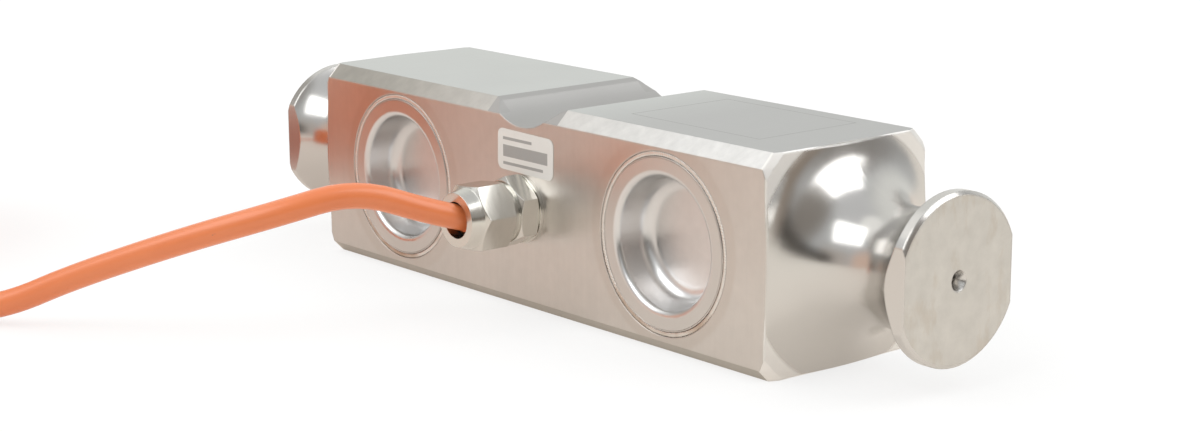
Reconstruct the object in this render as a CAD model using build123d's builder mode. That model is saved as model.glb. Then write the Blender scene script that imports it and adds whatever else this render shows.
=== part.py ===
from build123d import *
import math
import os

# Double ended beam load cell, in millimetres.
# The beam lies along X. Its underside is at Z = 0 and its middle is over the origin.
# The front, with the cable gland, faces -Y. Loads come down into the groove across the top,
# and the two turned ends hang in links that sit in their necks.

# Squared bar
overall_length = 206.5
beam_width = 44.5
beam_height = 45.0
top_bevel = 3.0
bottom_bevel = 2.5

# Turned ends, as lengths along the beam and radii about its long axis
neck_radius = 12.0
end_bevel_reach = 1.39
end_bevel_angle = 35.0
end_face_ring = 1.2
end_edge_break = 0.3
disc_rim_width = 2.78
disc_radius = 17.0
disc_edge_chamfer = 0.7
disc_across_flats = 29.8
centre_hole_radius = 1.0
centre_hole_depth = 4.0
centre_cone_radius = 2.1
centre_cone_angle = 60.0

# Load groove across the top
groove_radius = 14.5
groove_depth = 5.0
groove_edge_chamfer = 1.0

# Gauge pockets, cut from both sides down to a thin web
pocket_x = 44.75
pocket_radius = 15.4
web_thickness = 8.0
web_hole_radius = 2.0
web_hole_offset = 11.0
cup_seat_radius = 17.5
weld_lip_width = 0.3
weld_groove_width = 1.05
weld_groove_depth = 0.45

# Drawn cups that seal the pockets
cup_sheet = 0.8
cup_flange_clearance = 0.05
cup_mouth_radius = 13.8
cup_floor_corner_radius = 12.9
cup_depth = 8.0
cup_mouth_bend = 1.4
cup_floor_bend = 3.2

# Bores for the wiring inside the beam
gland_thread_radius = 5.0
gland_thread_depth = 12.0
cable_bore_radius = 4.4
cable_bore_depth = 30.0
wiring_bore_radius = 2.25
wiring_bore_angle = 24.0
wiring_bore_web_gap = 1.0
wiring_sleeve_clearance = 0.1
wiring_sleeve_wall = 0.5
wiring_sleeve_length = 18.0

# Strain gauges, solder pads and compensation board on the webs
gauge_side = 8.0
gauge_carrier = 0.12
grid_strip_length = 3.2
grid_strip_width = 0.25
grid_strip_pitch = 0.5
grid_strip_count = 5
grid_height = 0.06
grid_centre_offset = 1.6
pad_length = 8.0
pad_width = 3.0
pad_thickness = 0.4
pad_centre_z = 9.0
solder_dot_radius = 0.55
solder_dot_height = 0.45
solder_dot_pitch = 1.8
solder_dot_count = 4
board_length = 15.0
board_width = 6.0
board_thickness = 1.0
board_centre_z = -9.4
board_bed_thickness = 1.5
board_bed_margin = 0.8
resistor_length = 2.6
resistor_width = 1.6
resistor_height = 0.7
resistor_pitch = 3.4
resistor_count = 4

# Cable and gland, as distances out from the front face and radii about the gland's axis
cable_radius = 2.7
cable_bore_clearance = 0.25
washer_thickness = 0.8
washer_radius = 7.4
gland_hex_across_flats = 13.5
gland_hex_turn = 26.0
gland_hex_end = 5.5
gland_collar_radius = 6.2
gland_collar_end = 6.6
gland_barrel_radius = 5.6
gland_barrel_end = 13.4
seal_seat_start = 8.8
seal_seat_radius = 4.6
seal_end = 14.4
slip_ring_thickness = 0.6
slip_ring_clearance = 0.05
nut_start = 7.0
nut_hex_turn = 5.0
nut_hex_end = 15.0
nut_cone_start_radius = 6.6
nut_cone_end_radius = 5.75
nut_end = 17.8
nut_mouth_radius = 3.9
hex_corner_slope = 30.0
seal_dome = 0.6
inner_cable_length = 20.0
conductor_radius = 0.55
conductor_ring_radius = 1.2
conductor_length = 7.0
conductor_count = 4

# Bare label above the gland
label_length = 18.8
label_height = 8.9
label_thickness = 0.12
label_corner = 1.6
label_centre_x = 1.2
label_centre_above_axis = 12.0
label_tilt = 1.0

# Flexible cable: six metres in all, most of it wound up beside the beam
cable_joint_gap = 0.8
bend_share = 0.45
first_bend = (-1.6, -45.3, 24.9)
floor_run = 22.0
coil_centre_x = -162.6
coil_centre_y = -123.1
coil_mean_radius = 32.0
coil_columns = 4
coil_layers = 7
coil_edge_round = 2.2
coil_stub_length = 23.0
coil_entry_angle = 295.4
coil_entry_inset = 0.15
coil_entry_lift = 0.05

# Stripped end of the cable, lying on the coil
end_sleeve_wall = 0.4
end_sleeve_length = 18.0
end_sleeve_angle = 200.0
climb_length = 20.0
lead_radius = 0.6
lead_pitch = 1.25
lead_arc_radius = 27.0
lead_arc_angles = (75.0, 73.0, 74.0, 70.0, 67.0)
lead_names = ("red", "black", "green", "white", "shield")
lead_row_wall = 0.33
lead_tip_radius = 0.4
lead_tip_length = 6.5

# How far a cut is drawn past the stock that it removes, and how closely edges are picked by place
cut_overrun = 1.0
pick_tolerance = 0.01

os.makedirs("parts", exist_ok=True)

axis_height = beam_height / 2
half_width = beam_width / 2
disc_face_x = overall_length / 2
beam_axis = Axis((0, 0, axis_height), (1, 0, 0))
gland_axis = Axis((0, 0, axis_height), (0, 1, 0))
front_plane = Plane(origin=(0, -half_width, axis_height), x_dir=(1, 0, 0), z_dir=(0, -1, 0))
rear_plane = Plane(origin=(0, half_width, axis_height), x_dir=(-1, 0, 0), z_dir=(0, 1, 0))
pocket_depth = half_width - web_thickness / 2


def save(part, name):
    part.label = name
    export_step(part, "parts/" + name + ".step")


# Beam body: one piece of stainless bar. The lathe's bevel takes the block's four corners down by its reach,
# inside it is the flat ring of the end face, and inside that the neck's arc starts square to the face.
block_corner_radius = math.hypot(half_width, beam_height / 2 - top_bevel)
end_bevel_inner_radius = block_corner_radius - end_bevel_reach
neck_centre_radius = end_bevel_inner_radius - end_face_ring
neck_arc_radius = neck_centre_radius - neck_radius
rim_rise = neck_centre_radius - disc_radius
rim_back_x = disc_face_x - disc_rim_width
neck_centre_x = rim_back_x - math.sqrt(neck_arc_radius ** 2 - rim_rise ** 2)
block_end_x = neck_centre_x - neck_arc_radius
swing_radius = math.hypot(half_width, beam_height / 2) + cut_overrun
bevel_run = (swing_radius - end_bevel_inner_radius) * math.tan(math.radians(end_bevel_angle))
waste_end_x = disc_face_x + cut_overrun


def side_point(x, radius):
    """A point of a turned profile, drawn in the XZ plane above the beam's axis."""
    return (x, axis_height + radius)


with BuildPart() as beam_body:
    with BuildSketch(Plane.YZ.offset(-disc_face_x)) as bar_section:
        with BuildLine():
            Polyline(
                (-half_width + bottom_bevel, 0),
                (half_width - bottom_bevel, 0),
                (half_width, bottom_bevel),
                (half_width, beam_height - top_bevel),
                (half_width - top_bevel, beam_height),
                (-half_width + top_bevel, beam_height),
                (-half_width, beam_height - top_bevel),
                (-half_width, bottom_bevel),
                close=True,
            )
        make_face()
    extrude(amount=overall_length)

    # The waste turned away at each end, leaving the neck and the disc
    with BuildSketch(Plane.XZ) as end_waste:
        with BuildLine():
            start = side_point(block_end_x, end_bevel_inner_radius)
            arc_top = side_point(block_end_x, neck_centre_radius)
            arc_low = side_point(neck_centre_x, neck_radius)
            rim_back = side_point(rim_back_x, disc_radius)
            rim_front = side_point(disc_face_x - disc_edge_chamfer, disc_radius)
            face_edge = side_point(disc_face_x, disc_radius - disc_edge_chamfer)
            Line(start, arc_top)
            TangentArc(arc_top, arc_low, tangent=(0, -1))
            TangentArc(arc_low, rim_back, tangent=(1, 0))
            Polyline(
                rim_back,
                rim_front,
                face_edge,
                side_point(waste_end_x, disc_radius - disc_edge_chamfer),
                side_point(waste_end_x, swing_radius),
                side_point(block_end_x - bevel_run, swing_radius),
                start,
            )
        make_face()
        mirror(about=Plane.YZ)
    revolve(axis=beam_axis, revolution_arc=360, mode=Mode.SUBTRACT)

    # Flats on the front and back of each disc
    flat_stock = half_width - disc_across_flats / 2
    flat_length = disc_face_x - neck_centre_x
    with BuildSketch(Plane.XY.offset(axis_height - disc_radius - cut_overrun)) as disc_flats:
        with Locations(*[
            (side * (neck_centre_x + flat_length / 2), face * (disc_across_flats / 2 + flat_stock / 2))
            for side in (-1, 1)
            for face in (-1, 1)
        ]):
            Rectangle(flat_length, flat_stock)
    extrude(amount=2 * (disc_radius + cut_overrun), mode=Mode.SUBTRACT)

    # Lathe centre holes in the disc faces
    for side in (-1, 1):
        with Locations(Plane(origin=(side * disc_face_x, 0, axis_height), z_dir=(side, 0, 0))):
            CounterSinkHole(centre_hole_radius, centre_cone_radius, centre_hole_depth, centre_cone_angle)

    # Load groove, with its top edges broken
    groove_centre_z = beam_height - groove_depth + groove_radius
    with BuildSketch(Plane.XZ.offset(-half_width)) as groove_section:
        with Locations((0, groove_centre_z)):
            Circle(groove_radius)
    extrude(amount=beam_width, mode=Mode.SUBTRACT)
    top_cross_edges = beam_body.edges().filter_by(Axis.Y).group_by(Axis.Z)[-1]
    chamfer(top_cross_edges.filter_by_position(Axis.X, -groove_radius, groove_radius), groove_edge_chamfer)

    # Straight edges of the block's end faces, just broken
    straight_edges = beam_body.edges().filter_by(GeomType.LINE)
    for side in (-1, 1):
        end_edges = straight_edges.filter_by_position(
            Axis.X, side * block_end_x - pick_tolerance, side * block_end_x + pick_tolerance
        )
        chamfer(end_edges, end_edge_break)

    # Pockets, cup seats and weld grooves on both sides
    lip_radius = cup_seat_radius + weld_lip_width
    for face_plane in (front_plane, rear_plane):
        with BuildSketch(face_plane) as pocket_mouths:
            with Locations((-pocket_x, 0), (pocket_x, 0)):
                Circle(pocket_radius)
        extrude(amount=-pocket_depth, mode=Mode.SUBTRACT)
        with BuildSketch(face_plane) as cup_seats:
            with Locations((-pocket_x, 0), (pocket_x, 0)):
                Circle(cup_seat_radius)
        extrude(amount=-cup_sheet, mode=Mode.SUBTRACT)
        with BuildSketch(face_plane) as weld_grooves:
            with Locations((-pocket_x, 0), (pocket_x, 0)):
                Circle(lip_radius + weld_groove_width)
                Circle(lip_radius, mode=Mode.SUBTRACT)
        extrude(amount=-weld_groove_depth, mode=Mode.SUBTRACT)

    # Holes through the webs, so that the rear gauges reach the front pockets
    with BuildSketch(Plane.XZ.offset(-web_thickness)) as web_holes:
        with Locations(
            (-pocket_x + web_hole_offset, axis_height),
            (pocket_x - web_hole_offset, axis_height),
        ):
            Circle(web_hole_radius)
    extrude(amount=2 * web_thickness, mode=Mode.SUBTRACT)

    # Threaded hole for the gland, the cable bore behind it and a slanted bore to each pocket
    with BuildSketch(front_plane) as gland_hole:
        Circle(gland_thread_radius)
    extrude(amount=-gland_thread_depth, mode=Mode.SUBTRACT)
    with BuildSketch(front_plane) as cable_bore:
        Circle(cable_bore_radius)
    extrude(amount=-cable_bore_depth, mode=Mode.SUBTRACT)
    wiring_entry_x = pocket_x - pocket_radius
    wiring_entry_y = -(web_thickness / 2 + wiring_bore_radius + wiring_bore_web_gap)
    wiring_slope = math.tan(math.radians(wiring_bore_angle))
    wiring_planes = [
        Plane(
            origin=(side * wiring_entry_x, wiring_entry_y, axis_height),
            x_dir=(0, 0, 1),
            z_dir=(-side, wiring_slope, 0),
        )
        for side in (-1, 1)
    ]
    wiring_length = wiring_entry_x / math.cos(math.radians(wiring_bore_angle))
    for wiring_plane in wiring_planes:
        with BuildSketch(wiring_plane.offset(-wiring_bore_radius)) as wiring_bore:
            Circle(wiring_bore_radius)
        extrude(amount=wiring_length + wiring_bore_radius, mode=Mode.SUBTRACT)

save(beam_body.part, "beam_body")


# Sealing cups: one drawn profile, turned about each pocket's axis
cup_slant = math.atan2(cup_mouth_radius - cup_floor_corner_radius, cup_depth)
cup_wall_shift = cup_sheet / math.cos(cup_slant) - cup_sheet * math.tan(cup_slant)
cup_flange_radius = cup_seat_radius - cup_flange_clearance


def sealing_cup(face_plane, x, name):
    """A drawn cup whose flange is level with the face and whose floor lies inside the pocket."""
    local_x = face_plane.x_dir.X * x
    cup_plane = Plane(
        origin=face_plane.from_local_coords((local_x, 0, 0)),
        x_dir=face_plane.x_dir,
        z_dir=face_plane.y_dir,
    )
    cup_axis = Axis(cup_plane.origin, face_plane.z_dir)
    inward = -1 if cup_plane.y_dir.dot(face_plane.z_dir) > 0 else 1
    with BuildPart() as cup:
        with BuildSketch(cup_plane) as cup_section:
            with BuildLine():
                seen_side = FilletPolyline(
                    (cup_flange_radius, 0),
                    (cup_mouth_radius, 0),
                    (cup_floor_corner_radius, inward * cup_depth),
                    (0, inward * cup_depth),
                    radius=[cup_mouth_bend, cup_floor_bend],
                )
                hidden_side = FilletPolyline(
                    (cup_flange_radius, inward * cup_sheet),
                    (cup_mouth_radius + cup_wall_shift, inward * cup_sheet),
                    (cup_floor_corner_radius + cup_wall_shift, inward * (cup_depth + cup_sheet)),
                    (0, inward * (cup_depth + cup_sheet)),
                    radius=[cup_mouth_bend - cup_sheet, cup_floor_bend + cup_sheet],
                )
                Line(seen_side @ 0, hidden_side @ 0)
                Line(seen_side @ 1, hidden_side @ 1)
            make_face()
        revolve(axis=cup_axis, revolution_arc=360)
    save(cup.part, name)


for face_name, face_plane in (("front", front_plane), ("rear", rear_plane)):
    for side_name, side in (("left", -1), ("right", 1)):
        sealing_cup(face_plane, side * pocket_x, "sealing_cup_" + face_name + "_" + side_name)


# Strain gauges and solder pads, one set on each side of each web
def web_plane(face_plane):
    """The web's surface in the pockets behind this face, looking out of the pocket."""
    return face_plane.offset(-pocket_depth)


def strain_gauge(face_plane, x, name):
    """A shear gauge: a thin carrier set on its corner, with two foil grids at right angles."""
    local_x = face_plane.x_dir.X * x
    base = web_plane(face_plane)
    with BuildPart() as gauge:
        with BuildSketch(base) as carrier:
            with Locations((local_x, 0)):
                Rectangle(gauge_side, gauge_side, rotation=45)
        extrude(amount=gauge_carrier)
        with BuildSketch(base.offset(gauge_carrier)) as grids:
            for side in (-1, 1):
                with Locations(Location((local_x + side * grid_centre_offset, 0), side * 45)):
                    with GridLocations(0, grid_strip_pitch, 1, grid_strip_count):
                        Rectangle(grid_strip_length, grid_strip_width)
        extrude(amount=grid_height)
    save(gauge.part, name)


def solder_pad(face_plane, x, name):
    """A terminal strip bonded to the web, with its row of solder dots."""
    local_x = face_plane.x_dir.X * x
    base = web_plane(face_plane)
    with BuildPart() as strip:
        with BuildSketch(base) as strip_outline:
            with Locations((local_x, pad_centre_z)):
                Rectangle(pad_length, pad_width)
        extrude(amount=pad_thickness)
        with BuildSketch(base.offset(pad_thickness)) as dots:
            with Locations((local_x, pad_centre_z)):
                with GridLocations(solder_dot_pitch, 0, solder_dot_count, 1):
                    Circle(solder_dot_radius)
        extrude(amount=solder_dot_height)
    save(strip.part, name)


for face_name, face_plane in (("front", front_plane), ("rear", rear_plane)):
    for side_name, side in (("left", -1), ("right", 1)):
        place = face_name + "_" + side_name
        strain_gauge(face_plane, side * pocket_x, "strain_gauge_" + place)
        solder_pad(face_plane, side * pocket_x, "solder_pad_" + place)


# Compensation board on a silicone bed, low in the front right pocket
board_plane = web_plane(front_plane)

with BuildPart() as board_bed:
    with BuildSketch(board_plane) as bed_outline:
        with Locations((pocket_x, board_centre_z)):
            Rectangle(board_length - 2 * board_bed_margin, board_width - 2 * board_bed_margin)
    extrude(amount=board_bed_thickness)
save(board_bed.part, "board_bed")

with BuildPart() as compensation_board:
    with BuildSketch(board_plane.offset(board_bed_thickness)) as board_outline:
        with Locations((pocket_x, board_centre_z)):
            Rectangle(board_length, board_width)
    extrude(amount=board_thickness)
save(compensation_board.part, "compensation_board")

with BuildPart() as trim_resistors:
    with BuildSketch(board_plane.offset(board_bed_thickness + board_thickness)) as chips:
        with Locations((pocket_x, board_centre_z)):
            with GridLocations(resistor_pitch, 0, resistor_count, 1):
                Rectangle(resistor_width, resistor_length)
    extrude(amount=resistor_height)
save(trim_resistors.part, "trim_resistors")


# Insulating sleeves that line the slanted wiring bores
sleeve_outer_radius = wiring_bore_radius - wiring_sleeve_clearance
for side_name, wiring_plane in zip(("left", "right"), wiring_planes):
    with BuildPart() as wiring_sleeve:
        with BuildSketch(wiring_plane.offset(wiring_bore_radius)) as sleeve_section:
            Circle(sleeve_outer_radius)
            Circle(sleeve_outer_radius - wiring_sleeve_wall, mode=Mode.SUBTRACT)
        extrude(amount=wiring_sleeve_length)
    save(wiring_sleeve.part, "wiring_sleeve_" + side_name)


# Cable gland: washer, body, rubber seal, slip ring and nut on one axis
def gland_point(out, radius):
    """A point of a turned gland profile, drawn in the YZ plane above the gland's axis."""
    return (-half_width - out, axis_height + radius)


def hex_corner(across_flats):
    return across_flats / 2 / math.cos(math.radians(30))


corner_slope = math.tan(math.radians(hex_corner_slope))
hex_flat_radius = gland_hex_across_flats / 2
hex_corner_radius = hex_corner(gland_hex_across_flats)
corner_fall = (hex_corner_radius - hex_flat_radius) * corner_slope
cable_hole_radius = cable_radius + cable_bore_clearance

with BuildPart() as gland_washer:
    with BuildSketch(front_plane) as washer_section:
        Circle(washer_radius)
        Circle(gland_thread_radius, mode=Mode.SUBTRACT)
    extrude(amount=washer_thickness)
save(gland_washer.part, "gland_washer")

with BuildPart() as gland_body:
    with BuildSketch(front_plane.offset(washer_thickness)) as body_hex:
        RegularPolygon(hex_flat_radius, 6, major_radius=False, rotation=gland_hex_turn)
    extrude(amount=gland_hex_end - washer_thickness)
    with BuildSketch(Plane.YZ) as body_hex_turning:
        with BuildLine():
            Polyline(
                gland_point(washer_thickness, 0),
                gland_point(washer_thickness, hex_flat_radius),
                gland_point(washer_thickness + corner_fall, hex_corner_radius),
                gland_point(gland_hex_end - corner_fall, hex_corner_radius),
                gland_point(gland_hex_end, hex_flat_radius),
                gland_point(gland_hex_end, 0),
                close=True,
            )
        make_face()
    revolve(axis=gland_axis, revolution_arc=360, mode=Mode.INTERSECT)
    with BuildSketch(Plane.YZ) as body_turning:
        with BuildLine():
            Polyline(
                gland_point(-gland_thread_depth, cable_hole_radius),
                gland_point(-gland_thread_depth, gland_thread_radius),
                gland_point(washer_thickness, gland_thread_radius),
                gland_point(gland_hex_end, gland_thread_radius),
                gland_point(gland_hex_end, gland_collar_radius),
                gland_point(gland_collar_end, gland_collar_radius),
                gland_point(gland_collar_end, gland_barrel_radius),
                gland_point(gland_barrel_end, gland_barrel_radius),
                gland_point(gland_barrel_end, seal_seat_radius),
                gland_point(seal_seat_start, seal_seat_radius),
                gland_point(seal_seat_start, cable_hole_radius),
                close=True,
            )
        make_face()
    revolve(axis=gland_axis, revolution_arc=360)
    with BuildSketch(front_plane.offset(-gland_thread_depth)) as cable_passage:
        Circle(cable_hole_radius)
    extrude(amount=gland_thread_depth + gland_barrel_end, mode=Mode.SUBTRACT)
    with BuildSketch(front_plane.offset(seal_seat_start)) as seal_seat:
        Circle(seal_seat_radius)
    extrude(amount=gland_barrel_end - seal_seat_start, mode=Mode.SUBTRACT)
save(gland_body.part, "gland_body")

with BuildPart() as gland_seal:
    with BuildSketch(Plane.YZ) as seal_turning:
        with BuildLine():
            Polyline(
                gland_point(seal_seat_start, cable_radius),
                gland_point(seal_seat_start, seal_seat_radius),
                gland_point(gland_barrel_end, seal_seat_radius),
                gland_point(seal_end, seal_seat_radius - seal_dome),
                gland_point(seal_end, cable_radius),
                close=True,
            )
        make_face()
    revolve(axis=gland_axis, revolution_arc=360)
save(gland_seal.part, "gland_seal")

nut_bore_radius = gland_barrel_radius
slip_ring_end = seal_end + slip_ring_thickness
with BuildPart() as gland_slip_ring:
    with BuildSketch(front_plane.offset(seal_end)) as slip_ring_section:
        Circle(nut_bore_radius - slip_ring_clearance)
        Circle(nut_mouth_radius, mode=Mode.SUBTRACT)
    extrude(amount=slip_ring_thickness)
save(gland_slip_ring.part, "gland_slip_ring")

with BuildPart() as gland_nut:
    with BuildSketch(front_plane.offset(nut_start)) as nut_hex:
        RegularPolygon(hex_flat_radius, 6, major_radius=False, rotation=nut_hex_turn)
    extrude(amount=nut_end - nut_start)
    nut_front_fall = (hex_corner_radius - nut_cone_start_radius) * corner_slope
    with BuildSketch(Plane.YZ) as nut_turning:
        with BuildLine():
            Polyline(
                gland_point(nut_start, 0),
                gland_point(nut_start, hex_flat_radius),
                gland_point(nut_start + corner_fall, hex_corner_radius),
                gland_point(nut_hex_end - nut_front_fall, hex_corner_radius),
                gland_point(nut_hex_end, nut_cone_start_radius),
                gland_point(nut_end, nut_cone_end_radius),
                gland_point(nut_end, 0),
                close=True,
            )
        make_face()
    revolve(axis=gland_axis, revolution_arc=360, mode=Mode.INTERSECT)
    with BuildSketch(front_plane.offset(nut_start)) as nut_bore:
        Circle(nut_bore_radius)
    extrude(amount=slip_ring_end - nut_start, mode=Mode.SUBTRACT)
    with BuildSketch(front_plane.offset(nut_start)) as nut_mouth:
        Circle(nut_mouth_radius)
    extrude(amount=nut_end - nut_start, mode=Mode.SUBTRACT)
save(gland_nut.part, "gland_nut")


# The cable's straight length inside the gland, and its stripped wires in the bore.
# Its outer end is cut square to the free cable, which leaves the gland at a slant.
joint_point = Vector(0, -half_width - seal_end - cable_joint_gap, axis_height)
joint_plane = Plane(origin=joint_point, z_dir=Vector(first_bend) - joint_point)
inner_cable_start = seal_end - inner_cable_length
with BuildPart() as cable_inner_end:
    with BuildSketch(front_plane.offset(inner_cable_start)) as inner_cable_section:
        Circle(cable_radius)
    extrude(amount=inner_cable_length + cable_joint_gap + cable_radius)
    split(bisect_by=joint_plane, keep=Keep.BOTTOM)
save(cable_inner_end.part, "cable_inner_end")

with BuildPart() as cable_conductors:
    with BuildSketch(front_plane.offset(inner_cable_start)) as conductor_sections:
        with PolarLocations(conductor_ring_radius, conductor_count):
            Circle(conductor_radius)
    extrude(amount=-conductor_length)
save(cable_conductors.part, "cable_conductors")


# Bare label
label_plane = Plane(
    origin=(label_centre_x, -half_width, axis_height + label_centre_above_axis),
    x_dir=(math.cos(math.radians(label_tilt)), 0, -math.sin(math.radians(label_tilt))),
    z_dir=(0, -1, 0),
)
with BuildPart() as identification_label:
    with BuildSketch(label_plane) as label_outline:
        RectangleRounded(label_length, label_height, label_corner)
    extrude(amount=label_thickness)
save(identification_label.part, "identification_label")


# Free cable: straight runs joined by arcs, from the seal in the gland to the coil, which is
# wound clockwise as seen from above
cable_diameter = 2 * cable_radius
coil_half_ring = coil_columns * cable_diameter / 2
coil_outer_radius = coil_mean_radius + coil_half_ring
coil_inner_radius = coil_mean_radius - coil_half_ring
coil_height = coil_layers * cable_diameter
outer_turn_radius = coil_outer_radius - cable_radius
entry_turn = math.radians(coil_entry_angle)
entry_out = Vector(math.cos(entry_turn), math.sin(entry_turn), 0)
entry_along = Vector(math.sin(entry_turn), -math.cos(entry_turn), 0)
coil_centre = Vector(coil_centre_x, coil_centre_y, 0)
entry_radius = outer_turn_radius - coil_entry_inset
entry_point = coil_centre + entry_out * entry_radius + Vector(0, 0, cable_radius + coil_entry_lift)
stub_end = entry_point - entry_along * coil_stub_length
floor_corner = stub_end - entry_along * floor_run

cable_route = [
    tuple(joint_point),
    first_bend,
    (-8.1, -60, 30.3),
    (-13.2, -75.7, 26.8),
    (-29, -89, 20.3),
    (-50, -103.1, 11.1),
    (-61.3, -111.9, 4.3),
    (-68, -116.5, cable_radius),
    (-82, -126.2, cable_radius),
    tuple(floor_corner),
    tuple(stub_end),
]


def route_radii(points):
    """Each corner's arc takes up a named share of the shorter run beside it."""
    radii = []
    for before, here, after in zip(points, points[1:], points[2:]):
        run_in = Vector(here) - Vector(before)
        run_out = Vector(after) - Vector(here)
        turn = math.radians(run_in.get_angle(run_out))
        radii.append(bend_share * min(run_in.length, run_out.length) / math.tan(turn / 2))
    return radii


cable_radii = route_radii(cable_route)
print("cable arc radii, mm:", [round(radius, 1) for radius in cable_radii])

with BuildPart() as cable_run:
    with BuildLine() as cable_path:
        FilletPolyline(*cable_route, radius=cable_radii)
    path_wire = cable_path.wires()[0]
    with BuildSketch(Plane(origin=path_wire @ 0, z_dir=path_wire % 0)) as cable_section:
        Circle(cable_radius)
    sweep(path=path_wire)
save(cable_run.part, "cable_run")
path_length = path_wire.length
print("cable path, mm:", round(path_length, 1))
print("tube volume over section times length:",
      round(cable_run.part.volume / (math.pi * cable_radius ** 2 * path_length), 4))

sleeve_turn = math.radians(end_sleeve_angle)
sleeve_out = Vector(math.cos(sleeve_turn), math.sin(sleeve_turn), 0)
sleeve_along = Vector(math.sin(sleeve_turn), -math.cos(sleeve_turn), 0)
sleeve_middle = coil_centre + sleeve_out * coil_mean_radius + Vector(0, 0, coil_height)
sleeve_radius = cable_radius + end_sleeve_wall
sleeve_start = sleeve_middle - sleeve_along * (end_sleeve_length / 2)
sleeve_end = sleeve_middle + sleeve_along * (end_sleeve_length / 2)
climb_end = sleeve_start + Vector(0, 0, sleeve_radius)
climb_start = sleeve_start - sleeve_along * climb_length - Vector(0, 0, cable_radius)

with BuildPart() as cable_coil:
    with BuildSketch(Plane.XY) as coil_ring:
        with Locations((coil_centre_x, coil_centre_y)):
            Circle(coil_outer_radius)
            Circle(coil_inner_radius, mode=Mode.SUBTRACT)
    extrude(amount=coil_height)
    fillet(cable_coil.edges().filter_by(GeomType.CIRCLE), coil_edge_round)
    # The length that comes in from the beam, lying on the floor
    with BuildSketch(Plane(origin=stub_end, z_dir=entry_along)) as stub_section:
        Circle(cable_radius)
    extrude(amount=coil_stub_length)
    # The last length, climbing out of the top layer into the sleeve
    with BuildSketch(Plane(origin=climb_end, x_dir=sleeve_out, z_dir=-sleeve_along)) as climb_section:
        Circle(cable_radius)
    extrude(amount=(climb_end - climb_start).length, dir=climb_start - climb_end)
save(cable_coil.part, "cable_coil")


# Shrunk sleeve over the end of the sheath, flattened over the row of leads
lead_count = len(lead_names)
row_width = (lead_count - 1) * lead_pitch + 2 * (lead_radius + lead_row_wall)
row_height = 2 * (lead_radius + lead_row_wall)

with BuildPart() as cable_end_sleeve:
    with BuildSketch(Plane(origin=climb_end, x_dir=sleeve_out, z_dir=sleeve_along)) as round_end:
        Circle(sleeve_radius)
    row_middle = sleeve_end + Vector(0, 0, row_height / 2)
    flat_plane = Plane(origin=row_middle, x_dir=sleeve_out, z_dir=sleeve_along)
    with BuildSketch(flat_plane) as flat_end:
        SlotOverall(row_width, row_height)
    loft()
save(cable_end_sleeve.part, "cable_end_sleeve")

lead_level = coil_height + lead_radius
lead_centre = sleeve_end - sleeve_out * lead_arc_radius
lead_axis = Axis((lead_centre.X, lead_centre.Y, 0), (0, 0, -1))
lead_plane = Plane(origin=(lead_centre.X, lead_centre.Y, lead_level), x_dir=sleeve_out, z_dir=sleeve_along)
lead_arcs = [lead_arc_radius + (index - (lead_count - 1) / 2) * lead_pitch for index in range(lead_count)]
for lead_name, arc_radius, arc_angle in zip(lead_names, lead_arcs, lead_arc_angles):
    with BuildPart() as lead:
        with BuildSketch(lead_plane) as lead_section:
            with Locations((arc_radius, 0)):
                Circle(lead_radius)
        revolve(axis=lead_axis, revolution_arc=arc_angle)
    save(lead.part, "lead_" + lead_name)

# Tinned tips of the leads
with BuildPart() as lead_tips:
    for arc_radius, arc_angle in zip(lead_arcs, lead_arc_angles):
        tip_turn = sleeve_turn - math.radians(arc_angle)
        tip_out = Vector(math.cos(tip_turn), math.sin(tip_turn), 0)
        tip_along = Vector(math.sin(tip_turn), -math.cos(tip_turn), 0)
        tip = Vector(lead_centre.X, lead_centre.Y, lead_level) + tip_out * arc_radius
        with BuildSketch(Plane(origin=tip, x_dir=tip_out, z_dir=tip_along)) as tip_section:
            Circle(lead_tip_radius)
        extrude(amount=lead_tip_length)
save(lead_tips.part, "lead_tips")
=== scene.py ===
# %% [markdown]
# # A double ended beam load cell, dressed around its CAD model
#
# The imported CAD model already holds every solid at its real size, in metres, with the beam along X, the front
# face towards -Y and the underside on the floor. What is left for Blender is the camera, the light, the free
# cable as a soft curve, the small relief that machining and welding leave behind, and above all the metal: one bar
# of stainless steel that was milled, ground and turned, so each face of it throws the light back differently.

# %% Load the frame
import math

import bpy
from mathutils import Matrix, Vector


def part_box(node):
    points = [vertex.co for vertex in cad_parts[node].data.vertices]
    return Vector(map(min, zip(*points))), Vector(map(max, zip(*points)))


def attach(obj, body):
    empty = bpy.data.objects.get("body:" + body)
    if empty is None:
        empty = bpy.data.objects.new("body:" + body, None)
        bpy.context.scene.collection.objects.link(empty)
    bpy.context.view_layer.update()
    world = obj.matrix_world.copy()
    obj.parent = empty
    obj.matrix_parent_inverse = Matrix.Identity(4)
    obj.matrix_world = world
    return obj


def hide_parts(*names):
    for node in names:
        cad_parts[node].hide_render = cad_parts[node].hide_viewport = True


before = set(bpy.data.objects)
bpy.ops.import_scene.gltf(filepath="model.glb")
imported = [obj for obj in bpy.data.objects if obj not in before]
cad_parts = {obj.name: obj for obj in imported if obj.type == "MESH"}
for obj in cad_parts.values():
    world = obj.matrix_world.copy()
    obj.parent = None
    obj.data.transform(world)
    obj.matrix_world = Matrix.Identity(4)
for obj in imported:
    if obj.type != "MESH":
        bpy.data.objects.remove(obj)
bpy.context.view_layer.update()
MM = 0.001

# %% [markdown]
# ## The camera
#
# The picture is taken from the right of the front face and a little above it. One could turn a camera by hand until
# the picture fits, but a photograph of a box gives its own camera away: the long edges of the beam run to vanishing
# points, and those fix the turn, the tilt and the focal length together. The values below are what those edges gave.
# The aim point is kept as an offset in the picture plane, so the sensor needs no shift.

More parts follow.
